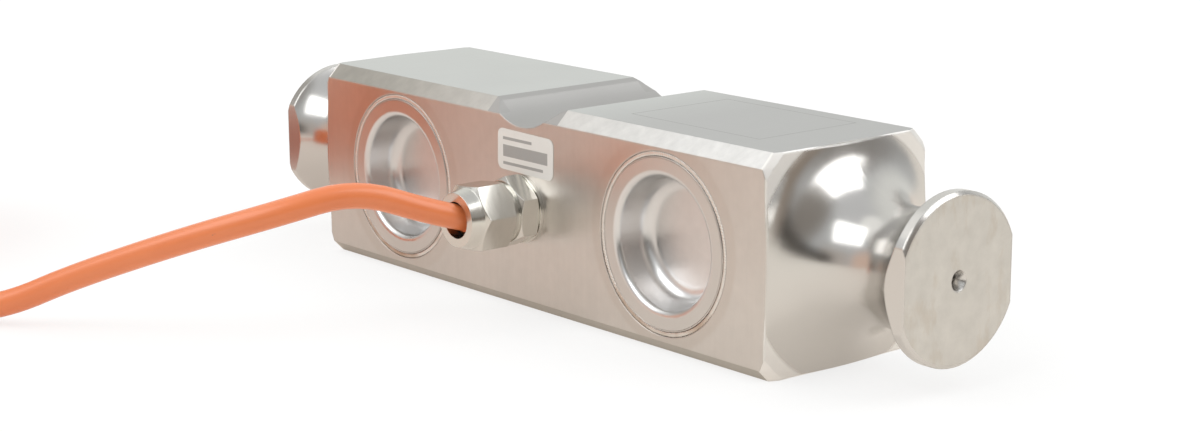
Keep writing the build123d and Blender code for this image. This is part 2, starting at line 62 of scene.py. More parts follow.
# %% Place the camera
FRAME_WIDTH = 1200
FOCAL_PIXELS = 2319.5
SENSOR = 36.0
CAMERA_TURN = math.radians(49.95)
CAMERA_TILT = math.radians(12.596)
CAMERA_ROLL = math.radians(-0.242)
CAMERA_DISTANCE = 509.74 * MM
AIM = Vector((0, 0, 22.5 * MM))
AIM_RIGHT = 0.465 * MM
AIM_UP = 4.844 * MM

towards_camera = Vector((
    math.sin(CAMERA_TURN) * math.cos(CAMERA_TILT),
    -math.cos(CAMERA_TURN) * math.cos(CAMERA_TILT),
    math.sin(CAMERA_TILT),
))
level_right = Vector((0, 0, 1)).cross(towards_camera).normalized()
level_up = towards_camera.cross(level_right)
picture_right = math.cos(CAMERA_ROLL) * level_right + math.sin(CAMERA_ROLL) * level_up
picture_up = math.cos(CAMERA_ROLL) * level_up - math.sin(CAMERA_ROLL) * level_right

camera_data = bpy.data.cameras.new("camera")
camera_data.sensor_width = SENSOR
camera_data.lens = SENSOR * FOCAL_PIXELS / FRAME_WIDTH
camera_data.clip_start = 0.01
camera = bpy.data.objects.new("camera", camera_data)
bpy.context.scene.collection.objects.link(camera)
camera_place = AIM - AIM_RIGHT * picture_right - AIM_UP * picture_up + CAMERA_DISTANCE * towards_camera
turn = Matrix((picture_right, picture_up, towards_camera)).transposed()
camera.matrix_world = Matrix.Translation(camera_place) @ turn.to_4x4()
bpy.context.scene.camera = camera
bpy.context.scene.view_settings.view_transform = "Standard"
print("camera at", [round(v, 4) for v in camera_place], "lens", round(camera_data.lens, 2), "mm")

# %% [markdown]
# ## The cable
#
# The cable is nearly six metres of 5.4 mm orange sheath. It leaves the gland a little to the left, humps over its
# own stiffness, and sinks to the floor at the left. What the picture doesn't show is wound up as it would be on a
# shelf: seven flat layers of four turns. A swept mesh or a simulated rope could make it too, but both are hard to
# correct afterwards. One quadratic NURBS curve follows the whole of it, because its control points can be few, it
# never kinks, and its length can be measured. The first points are the route, and a loop adds the coil's turns.

# %% Route of the cable, in millimetres, from the gland to the floor
CABLE_RADIUS = 2.7
CABLE_ROUTE = [
    (0, -37.45, 22.5),
    (-1.5, -45.0, 24.6),
    (-7.8, -59.6, 30.5),
    (-12.9, -75.5, 26.9),
    (-29, -89, 20.4),
    (-50, -103.1, 11.1),
    (-60.6, -111.2, 5.0),
    (-69.5, -117.4, CABLE_RADIUS),
    (-84, -127.2, CABLE_RADIUS),
    (-104, -139.7, CABLE_RADIUS),
]
print("points chosen by hand:", len(CABLE_ROUTE))

# %% Sizes of the coil, and of the last turn that climbs over it
COIL_CENTRE = Vector((-162.6, -123.1))
COIL_OUTER_TURN = 40.1
COIL_COLUMNS = 4
COIL_LAYERS = 7
CABLE_PITCH = 2 * CABLE_RADIUS
COIL_HEIGHT = COIL_LAYERS * CABLE_PITCH
COIL_ENTRY = math.radians(295.4)
POINTS_A_TURN = 16
# The share of a turn in which the cable steps over to the next column or layer
CROSSOVER = 0.3
# A quadratic spline runs inside its control polygon, so the polygon is drawn this much larger
SPLINE_REACH = 1 / math.cos(math.pi / POINTS_A_TURN)
LAST_TURN = COIL_COLUMNS * COIL_LAYERS - 1

SLEEVE_ANGLE = math.radians(200)
SLEEVE_RADIUS = 32.0
SLEEVE_LEVEL = COIL_HEIGHT + 3.1
TOP_TURN_RADIUS = 36.7
turns_to_sleeve = LAST_TURN + 1 + (COIL_ENTRY - SLEEVE_ANGLE) / math.tau
# The last turn first climbs onto the top layer, and only then moves outwards over it
climb_from = turns_to_sleeve - 330 / 360
climb_turns = 100 / 360
outwards_from = climb_from + 50 / 360
outwards_turns = 180 / 360
coil_turns = turns_to_sleeve - 94 / 360
print("turns of the coil:", round(coil_turns, 2), "height:", round(COIL_HEIGHT, 1), "mm")


# %% Where the wound cable lies after any number of turns
def smooth(t):
    t = min(max(t, 0.0), 1.0)
    return t * t * (3 - 2 * t)


def blend(a, b, share):
    return a + (b - a) * share


def coil_seat(turn):
    """Radius and height of one turn: out to in on the lowest layer, in to out on the next."""
    layer, place = divmod(turn, COIL_COLUMNS)
    column = place if layer % 2 == 0 else COIL_COLUMNS - 1 - place
    return COIL_OUTER_TURN - column * CABLE_PITCH, layer * CABLE_PITCH + CABLE_RADIUS


def coil_point(turns):
    """Where the wound cable is after this many turns from its entry."""
    turn = min(int(turns), LAST_TURN)
    crossing = smooth((turns - turn - 1 + CROSSOVER) / CROSSOVER) if turn < LAST_TURN else 0.0
    (radius, level), (next_radius, next_level) = coil_seat(turn), coil_seat(min(turn + 1, LAST_TURN))
    radius, level = blend(radius, next_radius, crossing), blend(level, next_level, crossing)
    level = blend(level, COIL_HEIGHT + CABLE_RADIUS, smooth((turns - climb_from) / climb_turns))
    radius = blend(radius, TOP_TURN_RADIUS, smooth((turns - outwards_from) / outwards_turns))
    angle = COIL_ENTRY - turns * math.tau
    reach = radius * SPLINE_REACH
    return (COIL_CENTRE.x + reach * math.cos(angle), COIL_CENTRE.y + reach * math.sin(angle), level)


sleeve_out = Vector((math.cos(SLEEVE_ANGLE), math.sin(SLEEVE_ANGLE)))
sleeve_along = Vector((sleeve_out.y, -sleeve_out.x))


def beside_sleeve(along, out, level):
    """A point measured from the middle of the end sleeve: along it, outwards from the coil's middle, and up."""
    place = COIL_CENTRE + sleeve_out * (SLEEVE_RADIUS + out) + sleeve_along * along
    return (place.x, place.y, level)


print("lowest turn, radius and level:", [round(v, 1) for v in coil_seat(0)])

# %% All control points of the cable
ENTRY_BACK = (22, 5)
entry_out = Vector((math.cos(COIL_ENTRY), math.sin(COIL_ENTRY)))
entry_along = Vector((entry_out.y, -entry_out.x))
entry_places = [COIL_CENTRE + entry_out * COIL_OUTER_TURN - entry_along * back for back in ENTRY_BACK]
entry_points = [(place.x, place.y, CABLE_RADIUS) for place in entry_places]
coil_steps = int(coil_turns * POINTS_A_TURN)
coil_points = [coil_point(step / POINTS_A_TURN) for step in range(1, coil_steps + 1)]
end_points = [
    beside_sleeve(-36.3, -22.6, SLEEVE_LEVEL - 0.4),
    beside_sleeve(-31.2, -11.8, SLEEVE_LEVEL - 0.3),
    beside_sleeve(-23.6, -4.1, SLEEVE_LEVEL - 0.1),
    beside_sleeve(-14.3, 0, SLEEVE_LEVEL),
    beside_sleeve(-4.5, 0, SLEEVE_LEVEL),
    beside_sleeve(-3, 0, SLEEVE_LEVEL),
]
cable_points = CABLE_ROUTE + entry_points + coil_points + end_points
print("cable control points:", len(cable_points), "of them on the coil:", len(coil_points))


# %% Draw the cable as one curve
def nurbs_tube(name, points, radius, resolution, rings):
    data = bpy.data.curves.new(name, "CURVE")
    data.dimensions = "3D"
    spline = data.splines.new("NURBS")
    spline.points.add(len(points) - 1)
    for point, place in zip(spline.points, points):
        point.co = (*(v * MM for v in place), 1.0)
    spline.order_u = 3
    spline.use_endpoint_u = True
    spline.resolution_u = resolution
    data.bevel_depth = radius * MM
    data.bevel_resolution = rings
    data.use_fill_caps = True
    tube = bpy.data.objects.new(name, data)
    bpy.context.scene.collection.objects.link(tube)
    return tube


cable = nurbs_tube("cable", cable_points, CABLE_RADIUS, resolution=6, rings=5)
# Given now and filled in below, because a curve's box goes wrong when it gets a material after its first evaluation
cable_sheath = bpy.data.materials.new("cable_sheath")
cable.data.materials.append(cable_sheath)
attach(cable, "root")
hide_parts("cable_run", "cable_coil")


# %% Measure the cable
def curve_line(obj):
    """The points of a curve's own centre line, as Blender evaluates it."""
    bare = obj.data.copy()
    bare.bevel_depth = 0
    probe = bpy.data.objects.new("probe", bare)
    bpy.context.scene.collection.objects.link(probe)
    bpy.context.view_layer.update()
    mesh = bpy.data.meshes.new_from_object(probe.evaluated_get(bpy.context.evaluated_depsgraph_get()))
    line = [v.co.copy() for v in mesh.vertices]
    bpy.data.objects.remove(probe)
    bpy.data.curves.remove(bare)
    bpy.data.meshes.remove(mesh)
    return line


cable_line = curve_line(cable)
cable_length = sum((b - a).length for a, b in zip(cable_line, cable_line[1:]))
print("cable length along its centre:", round(cable_length, 3), "m")

# %% [markdown]
# ## The studio
#
# Polished steel has hardly any colour of its own: it shows the room. So the room is built first. An image of a real
# studio could light it, but then nobody could say which wall makes which streak. Here the walls are a few soft
# patches, each placed by its direction. Two soft boxes hang high, one over the front and one over the right rear,
# and the flared ends show both as white patches. Around the camera the room is dim, which gives the metal its dark
# band. The camera itself sees plain white.

# %% [markdown]
# ### Shader maths as plain expressions
#
# Node trees get long, and clicking Math nodes together hides what they compute. One small class wraps a socket and
# overloads the operators, so that a mask reads like a formula. One method adds every other kind of node.


# %% A socket that can be added, multiplied and compared
class Value:
    def __init__(self, tree, socket):
        self.tree = tree
        self.socket = socket

    def math(self, operation, other=0.0, swap=False):
        pair = (other, self) if swap else (self, other)
        return self.tree.add("Math", {0: pair[0], 1: pair[1]}, operation=operation)

    def __add__(self, other):
        return self.math("ADD", other)

    def __sub__(self, other):
        return self.math("SUBTRACT", other)

    def __mul__(self, other):
        return self.math("MULTIPLY", other)

    def __truediv__(self, other):
        return self.math("DIVIDE", other)

    def __pow__(self, other):
        return self.math("POWER", other)

    __radd__ = __add__
    __rmul__ = __mul__

    def __rsub__(self, other):
        return self.math("SUBTRACT", other, swap=True)

    def __rtruediv__(self, other):
        return self.math("DIVIDE", other, swap=True)

    def __rpow__(self, other):
        return self.math("POWER", other, swap=True)

    def __gt__(self, other):
        return self.math("GREATER_THAN", other)

    def __lt__(self, other):
        return self.math("LESS_THAN", other)

    def __abs__(self):
        return self.math("ABSOLUTE")

    def larger(self, other):
        """The larger of two values, which is also the union of two masks."""
        return self.math("MAXIMUM", other)

    def rise(self, low, high):
        """0 below low, 1 above high, and smooth between them. With low above high it falls instead."""
        return self.tree.add(
            "MapRange", {"Value": self, "From Min": low, "From Max": high}, interpolation_type="SMOOTHSTEP"
        )


# %% A node tree that nodes are added to by name
class Tree:
    def __init__(self, node_tree):
        self.node_tree = node_tree
        node_tree.nodes.clear()

    def add(self, kind, sockets=None, output=0, **settings):
        """Add one node: its kind, what its sockets hold or are linked to, and its settings, which are set first."""
        node = self.node_tree.nodes.new("ShaderNode" + kind)
        for name, value in settings.items():
            setattr(node, name, value)
        for key, value in (sockets or {}).items():
            if isinstance(value, Value):
                self.node_tree.links.new(value.socket, node.inputs[key])
            elif value is not None:
                node.inputs[key].default_value = value
        return Value(self, node.outputs[output]) if len(node.outputs) else node

    def mix(self, factor, a, b):
        """Mix two colours."""
        a, b = (c if isinstance(c, Value) else (*c, 1.0) for c in (a, b))
        return self.add("Mix", {0: factor, 6: a, 7: b}, output=2, data_type="RGBA")

    def mix_value(self, factor, a, b):
        """Mix two plain values."""
        return self.add("Mix", {0: factor, 2: a, 3: b})

    def vector(self, operation, a, b=None, output=0):
        keys = {0: a, 1: b} if operation != "SCALE" else {0: a, 3: b}
        return self.add("VectorMath", keys, output=output, operation=operation)

    def split(self, vector):
        return [self.add("SeparateXYZ", {0: vector}, output=axis) for axis in range(3)]


def facing(azimuth, elevation):
    """The direction at this many degrees from the front towards the right, and above the floor."""
    a, e = math.radians(azimuth), math.radians(elevation)
    return Vector((math.sin(a) * math.cos(e), -math.cos(a) * math.cos(e), math.sin(e)))


print("the camera's direction, as azimuth and elevation:",
      round(math.degrees(CAMERA_TURN), 1), round(math.degrees(CAMERA_TILT), 1))

# %% The room, as the metal sees it
world = bpy.data.worlds.new("studio")
bpy.context.scene.world = world
world.use_nodes = True
room = Tree(world.node_tree)
WHITE = (1.0, 1.0, 1.0)
way = room.add("TexCoord", output=0)
_, _, way_up = room.split(way)


def patch(azimuth, elevation, inner, outer):
    """1 within inner degrees of a direction, 0 beyond outer."""
    cosine = room.vector("DOT_PRODUCT", way, tuple(facing(azimuth, elevation)), output=1)
    return cosine.rise(math.cos(math.radians(outer)), math.cos(math.radians(inner)))


low = way_up.rise(0.5, 0.2)
horizon = way_up.rise(0.30, 0.12)
walls = (0.58, 0.595, 0.60)
for colour, mask in (
    # The ceiling
    ((0.70, 0.71, 0.72), way_up.rise(0.8, 0.95)),
    # The bright wall at the rear left, which the ground pads on top show
    ((0.88, 0.885, 0.86), patch(-130, 10, 34, 66)),
    # A warm wall at the left, low, and a white panel and a dark gap above it
    ((0.80, 0.59, 0.48), patch(-60, 2, 24, 46) * low),
    ((1.10, 1.10, 1.08), patch(-70, 52, 14, 22)),
    ((0.40, 0.385, 0.355), patch(-84, 24, 8, 20)),
    # The front wall, beside the camera
    ((0.56, 0.51, 0.47), patch(5, 8, 12, 32) * low),
    # Unlit corners of the room, at the right and the rear right
    ((0.30, 0.275, 0.25), patch(72, 32, 12, 36)),
    ((0.30, 0.285, 0.27), patch(140, 24, 12, 34)),
    # The dark side of the room, behind the camera and right of it, as far up as the horizon's band
    ((0.055, 0.047, 0.040), patch(60, 4, 40, 64) * horizon),
    ((0.32, 0.26, 0.21), patch(112, 4, 8, 26) * horizon),
):
    walls = room.mix(mask, walls, colour)
is_camera = room.add("LightPath", output=0)
background = room.add("Background", {"Color": room.mix(is_camera, walls, WHITE), "Strength": 1.0})
room.add("OutputWorld", {"Surface": background})
print("world nodes:", len(world.node_tree.nodes))


# %% Two soft boxes
BOX_DISTANCE = 3.0
BOX_RADIANCE = 2.3


def soft_box(name, azimuth, elevation, wide, high):
    """A lamp at a direction from the beam, as large as it looks from there, in degrees."""
    data = bpy.data.lights.new(name, "AREA")
    data.shape = "RECTANGLE"
    data.size = 2 * BOX_DISTANCE * math.tan(math.radians(wide / 2))
    data.size_y = 2 * BOX_DISTANCE * math.tan(math.radians(high / 2))
    data.energy = BOX_RADIANCE * math.pi * data.size * data.size_y
    lamp = bpy.data.objects.new(name, data)
    bpy.context.scene.collection.objects.link(lamp)
    way_to_box = facing(azimuth, elevation)
    lamp.matrix_world = (
        Matrix.Translation(AIM + way_to_box * BOX_DISTANCE)
        @ way_to_box.to_track_quat("Z", "Y").to_matrix().to_4x4()
    )
    print(name, round(data.size, 2), "by", round(data.size_y, 2), "m,", round(data.energy), "W")


soft_box("soft_box_front", -12, 48, 48, 30)
soft_box("soft_box_rear", 127, 47, 43, 37)

# %% [markdown]
# ### The floor
#
# The real floor is a sheet of white paper, and the steel shows it everywhere below the horizon. A plain white plane
# would do for the camera, but the metal shows more of it: paper that is warmer at the left, and the orange coil. So
# each kind of ray gets its own answer. The camera sees white paper with only a trace of shadow on it, and the
# mirror-like faces see the tinted paper, with a painted red-brown glow where the orange coil's light colours it.


# %% The paper that the beam stands on
def material(name):
    made = bpy.data.materials.new(name)
    made.use_nodes = True
    return made, Tree(made.node_tree)


FLOOR_HALF = 0.8
PAPER = (0.86, 0.86, 0.85)
PAPER_SEEN = (1.08, 1.08, 1.08)
PAPER_LEFT, LEFT_X = (0.87, 0.78, 0.71), -0.12
PAPER_RIGHT, RIGHT_X = (1.00, 0.95, 0.88), 0.2
# A painted red-brown glow of the orange coil on the paper, which only the metal's reflections show
PAPER_PAINTED_COIL_GLOW = (0.46, 0.17, 0.12)
COIL_GLOW_PLACE = (-0.215, -0.08, 0.0)
COIL_GLOW_INNER, COIL_GLOW_OUTER = 0.035, 0.075
SHADOW_KEPT = 0.3
SHADOW_INNER, SHADOW_OUTER = 0.25, 0.55
SHADOW_KEPT_IN_METAL = 0.5

floor_mesh = bpy.data.meshes.new("floor")
corners = [(sx * FLOOR_HALF, sy * FLOOR_HALF, 0) for sx, sy in ((-1, -1), (1, -1), (1, 1), (-1, 1))]
floor_mesh.from_pydata(corners, [], [(0, 1, 2, 3)])
floor = bpy.data.objects.new("floor", floor_mesh)
bpy.context.scene.collection.objects.link(floor)

floor_paper, tree = material("floor_paper")
camera_ray, glossy_ray, through_ray = (tree.add("LightPath", output=index) for index in (0, 3, 6))
place = tree.add("TexCoord", output=3)
side, _, _ = tree.split(place)
in_metal = tree.mix(side.rise(LEFT_X, RIGHT_X), PAPER_LEFT, PAPER_RIGHT)
# Painted glow of the coil: red-brown near its place, fading outwards
from_coil_glow = tree.vector("DISTANCE", place, COIL_GLOW_PLACE, output=1)
in_metal = tree.mix(from_coil_glow.rise(COIL_GLOW_OUTER, COIL_GLOW_INNER), in_metal, PAPER_PAINTED_COIL_GLOW)
lit = tree.add("BsdfDiffuse", {"Color": tree.mix(glossy_ray, PAPER, in_metal)})
plain = tree.add("Emission", {"Color": tree.mix(camera_ray, in_metal, PAPER_SEEN), "Strength": 1.0})
from_middle = tree.vector("LENGTH", place, output=1)
seen = camera_ray.larger(through_ray) * (1 - SHADOW_KEPT * from_middle.rise(SHADOW_OUTER, SHADOW_INNER))
seen = seen.larger(glossy_ray * (1 - SHADOW_KEPT_IN_METAL))
tree.add("OutputMaterial", {"Surface": tree.add("MixShader", {0: seen, 1: lit, 2: plain})})
floor_mesh.materials.append(floor_paper)
print("floor:", 2 * FLOOR_HALF, "m square,", len(floor_paper.node_tree.nodes), "nodes")

# %% [markdown]
# ## Finishes
#
# One bar of steel carries every trace of how it was cut: ground pads, milled bevels, satin sides, turned and
# polished necks. Painted maps could show them, but they would have to be drawn and kept beside the model. The mesh
# is one piece, so its finish is one material, and masks in Object coordinates say which trace lies where. The
# position of a point on this beam is enough to know the tool that made it.

# %% From expressions to a finished surface
def noise(tree, vector, scale, detail=2.0, roughness=0.5):
    return tree.add("TexNoise", {"Vector": vector, "Scale": scale, "Detail": detail, "Roughness": roughness})


def stretched(tree, vector, factors, turn=(0.0, 0.0, 0.0)):
    """The same place, turned and then squeezed or stretched along each axis."""
    sockets = {"Vector": vector, "Scale": factors, "Rotation": turn}
    return tree.add("Mapping", sockets, vector_type="TEXTURE" if any(turn) else "POINT")


def shade(tree, base, roughness, metallic=0.0, normal=None, **constants):
    sockets = {
        "Base Color": base if isinstance(base, Value) else (*base, 1.0),
        "Roughness": roughness,
        "Metallic": metallic,
        "Normal": normal,
        **{name.replace("_", " "): value for name, value in constants.items()},
    }
    tree.add("OutputMaterial", {"Surface": tree.add("BsdfPrincipled", sockets)})


def bump(tree, height, distance, normal=None):
    """Distance is how high, in metres, a height of 1 stands."""
    return tree.add("Bump", {"Strength": 1.0, "Distance": distance, "Height": height, "Normal": normal})


def broken_edge(tree, radius):
    """A normal that rounds the sharp edges of the CAD mesh without changing it."""
    return tree.add("Bevel", {"Radius": radius}, samples=4)


def object_place(tree):
    place = tree.add("TexCoord", output=3)
    return place, tree.split(place)


def wear(tree, colour, grain, amount):
    """A colour made a little darker and lighter by a grain around a half."""
    low, high = (tuple(min(c * (1 + s * amount), 1.0) for c in colour) for s in (-1, 1))
    return tree.mix(grain, low, high)


def dress(made, *nodes):
    """Give CAD nodes their finish."""
    for node in nodes:
        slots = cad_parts[node].data.materials
        if len(slots):
            for index in range(len(slots)):
                slots[index] = made
        else:
            slots.append(made)
    print(made.name, "with", len(made.node_tree.nodes), "nodes, on", ", ".join(nodes))


# %% [markdown]
# ### The bar
#
# Sizes of the beam, from its CAD box and its drawing, tell the masks where the block ends and where the bevels,
# pockets and discs are. Steel itself is nearly one colour. What differs is how fine its grain is, and which way it
# runs. Where the colours below do differ, on the top pads, the upper bevels, the groove and the edges of the block
# ends, they are painted reflection, painted shade and a painted highlight. Separate materials for each face would
# need the mesh cut up, so the masks do that work instead.

# %% Sizes that the bar's masks need
beam_low, beam_high = (Vector(corner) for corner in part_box("beam_body"))
HALF_LENGTH, HALF_WIDTH, BEAM_TOP = beam_high.x, beam_high.y, beam_high.z
AXIS_HEIGHT = BEAM_TOP / 2
BLOCK_END = 74.3 * MM
TOP_BEVEL = 3.0 * MM
BOTTOM_BEVEL = 2.5 * MM
END_BREAK_OUTER, END_BREAK_INNER = 1.3 * MM, 1.7 * MM
GROOVE_HALF = 11.9 * MM
GROOVE_REACH = 6 * MM
POCKET_X = 44.75 * MM
WELD_INNER = 17.8 * MM
WELD_OUTER = 18.85 * MM
WELD_REACH = 0.6 * MM
HAIR = 0.05 * MM
print("beam half length, half width, height:", [round(v, 5) for v in (HALF_LENGTH, HALF_WIDTH, BEAM_TOP)])


def from_pocket_axis(x, z):
    """Distance from the nearer pocket's axis, in the face's plane."""
    reach = abs(x) - POCKET_X
    rise = z - AXIS_HEIGHT
    return (reach * reach + rise * rise) ** 0.5


# %% Where each kind of cut lies on the bar
bar_steel, tree = material("bar_steel")
place, (x, y, z) = object_place(tree)
along, across = abs(x), abs(y)
radius = from_pocket_axis(x, z)

on_side = across > HALF_WIDTH - HAIR
on_top = z > BEAM_TOP - HAIR
on_disc = along > HALF_LENGTH - HAIR
turned = along.rise(BLOCK_END + HAIR, BLOCK_END + 3 * HAIR)
lathe_grain = turned * (1 - on_disc)
end_break = along.rise(BLOCK_END - END_BREAK_INNER, BLOCK_END - END_BREAK_OUTER)
end_break = end_break * (1 - turned) * (1 - on_side) * (1 - on_top)
upper_bevel = (z > BEAM_TOP - TOP_BEVEL + HAIR) * (across > HALF_WIDTH - TOP_BEVEL + HAIR) * (1 - turned)
lower_bevel = (z < BOTTOM_BEVEL - HAIR) * (across > HALF_WIDTH - BOTTOM_BEVEL + HAIR) * (1 - turned)
bevels = upper_bevel + lower_bevel
in_groove = (along < GROOVE_HALF) * (z > BEAM_TOP - GROOVE_REACH) * (1 - on_top) * (1 - on_side)
# Above the gland the side was rubbed down once more, so it reflects less sharply there
SATIN_LEFT = (-62 * MM, -25 * MM)
SATIN_RIGHT = (34 * MM, 12 * MM)
SATIN_BELOW = (16 * MM, 34 * MM)
satin = x.rise(*SATIN_LEFT) * x.rise(*SATIN_RIGHT) * z.rise(*SATIN_BELOW)
print("masks of the bar use", len(bar_steel.node_tree.nodes), "nodes")

# %% [markdown]
# Grain comes from noise. Stretching the place before the noise turns spots into lines: along the beam for the
# ground pads, up the side for the brushed sides, round the axis for the turned ends, and slanted where the cutter
# crossed the bevels.

# %% Grain of each cut
MILL_SLANT = math.radians(52)
MILL_MARK = (1.3 * MM, 20 * MM, 6 * MM)
cloud = noise(tree, place, 45.0, 4.0, 0.55)
mottle = noise(tree, place, 260.0, 5.0, 0.6)
streaks = noise(tree, stretched(tree, place, (900.0, 1.0, 55.0)), 1.0, 3.0)
fine_grain = noise(tree, stretched(tree, place, (260.0, 4200.0, 260.0)), 1.0, 2.0)
milling = noise(tree, stretched(tree, place, MILL_MARK, (0.0, MILL_SLANT, 0.0)), 1.0, 4.0, 0.6)
blotch = noise(tree, place, 320.0, 3.0, 0.6)
rings = noise(tree, stretched(tree, place, (2600.0, 3.0, 3.0)), 1.0, 2.0)
pits = noise(tree, place, 620.0, 2.0).rise(0.76, 0.80) * on_top
stain = noise(tree, stretched(tree, place, (1.0, 190.0, 90.0)), 1.0, 6.0, 0.65).rise(0.50, 0.66) * on_disc

# %% Colour of each cut, with painted reflection, shade and highlight
SIDE_STEEL = (0.640, 0.611, 0.580)
# The left and right colours of the top pads are painted reflection: the right pad is painted darker than the left
TOP_LEFT_PAINTED_REFLECTION = (0.665, 0.680, 0.665)
TOP_RIGHT_PAINTED_REFLECTION = (0.545, 0.547, 0.543)
# The groove is painted darker than the pads around it: painted shade in the recess
GROOVE_PAINTED_SHADE = (0.500, 0.495, 0.485)
TURNED_STEEL = (0.650, 0.635, 0.612)
DISC_STEEL = (0.665, 0.650, 0.618)
# The upper bevels run from dark at the left to bright at the right: a painted reflection of what the slanted faces
# mirror along the beam
UPPER_BEVEL_PAINTED_DARK = (0.490, 0.470, 0.430)
UPPER_BEVEL_PAINTED_BRIGHT = (0.810, 0.805, 0.795)
LOWER_BEVEL_STEEL = (0.500, 0.475, 0.430)
# The narrow break at each block end is painted near white: a painted highlight along the edge
END_BREAK_PAINTED_HIGHLIGHT = (0.930, 0.920, 0.900)
# Where along the beam the left colour gives way to the right one; on the top pads and the upper bevels this change
# is painted reflection
TOP_REFLECTION_CHANGES = (4 * MM, 40 * MM)
BEVEL_REFLECTION_CHANGES = (-60 * MM, 60 * MM)

side_steel = wear(tree, SIDE_STEEL, streaks * 0.2 + cloud * 0.5 + blotch * 0.3, 0.17)
top_steel_with_painted_reflection = tree.mix(x.rise(*TOP_REFLECTION_CHANGES), TOP_LEFT_PAINTED_REFLECTION, TOP_RIGHT_PAINTED_REFLECTION)
top_steel_with_painted_reflection = tree.vector("SCALE", top_steel_with_painted_reflection, 0.93 + cloud * 0.09 + fine_grain * 0.05)
# Painted reflection on the upper bevels, from the dark left colour to the bright right one, with milling grain on
# top
bevel_steel_and_painted_reflection = tree.mix(x.rise(*BEVEL_REFLECTION_CHANGES), UPPER_BEVEL_PAINTED_DARK, UPPER_BEVEL_PAINTED_BRIGHT)
bevel_steel_and_painted_reflection = tree.vector("SCALE", bevel_steel_and_painted_reflection, 0.78 + milling * 0.16 + blotch * 0.28)
bevel_steel_and_painted_reflection = tree.mix(lower_bevel, bevel_steel_and_painted_reflection, wear(tree, LOWER_BEVEL_STEEL, cloud, 0.10))
colour = side_steel
for mask, steel in (
    (on_top, top_steel_with_painted_reflection),
    (upper_bevel.larger(lower_bevel), bevel_steel_and_painted_reflection),
    (in_groove, wear(tree, GROOVE_PAINTED_SHADE, cloud, 0.08)),
    (end_break, END_BREAK_PAINTED_HIGHLIGHT),
    (turned, wear(tree, TURNED_STEEL, cloud, 0.08)),
    (on_disc, wear(tree, DISC_STEEL, mottle, 0.16)),
):
    colour = tree.mix(mask, colour, steel)

# %% [markdown]
# On top of the cuts lie the traces of later work: a faint brown halo where welding heated the steel, rust-coloured
# streaks on the discs, tiny pits, and a rectangle scribed on the right pad, where something was once fitted.

# %% Heat, stains and the scribed rectangle
HEAT_TINT = (0.52, 0.455, 0.40)
HALO_FROM, HALO_FULL = 23.6 * MM, 22.4 * MM
HALO_GAP = 19.4 * MM
HALO_RAGGED = 3.0 * MM
WELD_BROWN = (0.40, 0.29, 0.20)
WELD_BROWNS = (AXIS_HEIGHT + 8 * MM, AXIS_HEIGHT - 12 * MM)
DISC_STAIN = (0.52, 0.44, 0.35)
SCRIBED_GREY = (0.30, 0.295, 0.29)
SCRIBED_X, SCRIBED_HALF_X = 42.9 * MM, 18.9 * MM
SCRIBED_Y, SCRIBED_HALF_Y = 1.5 * MM, 13.5 * MM
SCRIBED_LINE = 0.12 * MM

ragged = radius + cloud * HALO_RAGGED
halo = ragged.rise(HALO_FROM, HALO_FULL) * radius.rise(WELD_OUTER, HALO_GAP) * on_side
colour = tree.mix(halo * (0.10 + cloud * 0.3), colour, HEAT_TINT)
in_weld = (radius < WELD_OUTER + HAIR) * (radius > WELD_INNER - HAIR)
in_weld = in_weld * (1 - on_side) * (across > HALF_WIDTH - WELD_REACH)
browned = z.rise(*WELD_BROWNS) * mottle.rise(0.3, 0.6)
colour = tree.mix(in_weld * browned * 0.8, colour, WELD_BROWN)
colour = tree.mix(stain * 0.28, colour, DISC_STAIN)
scribed_edge = (abs(x - SCRIBED_X) - SCRIBED_HALF_X).larger(abs(y - SCRIBED_Y) - SCRIBED_HALF_Y)
scribed = (abs(scribed_edge) < SCRIBED_LINE) * on_top
colour = tree.mix((scribed * 0.75).larger(pits * 0.3), colour, SCRIBED_GREY)

# %% Roughness and relief of the bar
METAL_RELIEF = 3e-6
BAR_EDGE = 0.55 * MM
roughness = 0.25 + cloud * 0.05 + streaks * 0.04
roughness = roughness + on_top * (0.10 + cloud * 0.10)
roughness = roughness + bevels * (0.06 + milling * 0.08)
roughness = roughness + in_groove * 0.12 + end_break * 0.25
roughness = tree.mix_value(turned, roughness + satin * 0.16, 0.19 + cloud * 0.03)
roughness = roughness + on_disc * (0.18 + mottle * 0.10)

height = streaks * on_side * 0.12 + fine_grain * on_top * 0.3
height = height + (milling * 0.8 + blotch) * bevels
height = height + (rings * 0.05 + cloud) * lathe_grain + mottle * on_disc * 0.5
relief = bump(tree, height, METAL_RELIEF, broken_edge(tree, BAR_EDGE))
shade(tree, colour, roughness, metallic=1.0, normal=relief)
dress(bar_steel, "beam_body")

# %% [markdown]
# ### Cups, gland and the other metal
#
# The cups are drawn from thin sheet, so they are brighter than the bar and slightly hazy where the sheet stretched
# least, in the floor. The gland is nickel plated brass, brushed on its flats. Both could be one plain chrome, but
# then the cup's floor would be a mirror, which a drawn sheet never is.

# %% The sealing cups
FACES = ("front_left", "front_right", "rear_left", "rear_right")
# Radii between which the cup's wall turns into its flange, and into its floor
TO_FLANGE = (14.6 * MM, 15.2 * MM)
TO_FLOOR = (10.6 * MM, 9.2 * MM)
WALL_STEEL = (0.740, 0.735, 0.730)
